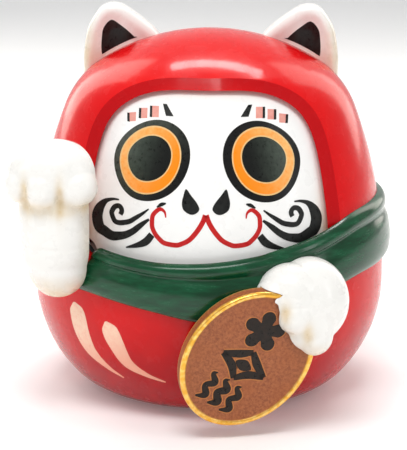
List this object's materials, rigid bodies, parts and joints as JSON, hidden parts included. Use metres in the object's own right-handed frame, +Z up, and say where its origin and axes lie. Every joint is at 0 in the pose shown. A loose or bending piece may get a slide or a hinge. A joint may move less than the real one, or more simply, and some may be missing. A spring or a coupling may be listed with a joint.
{
  "type": "daruma cat figure",
  "caption": "Round weighted lucky cat figure in a red hood, with a scarf band, two ears, an arm that turns at the shoulder and a paw gripping an oval coin",
  "frame": {"origin": "centre of the flat base, on the surface the doll stands on", "axes": "+Z up; the face looks along -Y; +X is the viewer's right when facing the doll"},
  "size_m": [0.0911, 0.0976, 0.0975],
  "materials": {
    "red_gloss": "glossy red lacquer on moulded plastic",
    "white_gloss": "semi-gloss white paint with pale ochre airbrushing in the creases",
    "green_gloss": "glossy deep green paint",
    "coin_gold": "gold paint on the rim, matte brown field",
    "base_black": "fine matte black plastic",
    "rubber_black": "plain rubber",
    "steel": "zinc-plated screws",
    "cast_iron": "bare casting"
  },
  "bodies": {
    "body": {"front_shell": "red_gloss", "rear_shell": "red_gloss", "face_plate": "white_gloss", "face_screws": "steel", "ear_left": "white_gloss", "ear_right": "white_gloss", "ear_screws": "steel", "scarf": "green_gloss", "coin_paw": "white_gloss", "paw_screws": "steel", "coin": "coin_gold", "coin_screw": "steel", "base_plate": "base_black", "base_screws": "steel", "base_weight": "cast_iron", "weight_screw": "steel"},
    "arm": {"raised_arm": "white_gloss", "arm_friction_ring": "rubber_black", "arm_washer": "steel", "arm_screw": "steel"}
  },
  "joints": [
    {"name": "shoulder_turn", "type": "hinge", "parent": "body", "child": "arm", "pos_m": [-0.03231, -0.03175, 0.0385], "axis": [-0.7133, -0.7009, 0], "continuous": true}
  ]
}
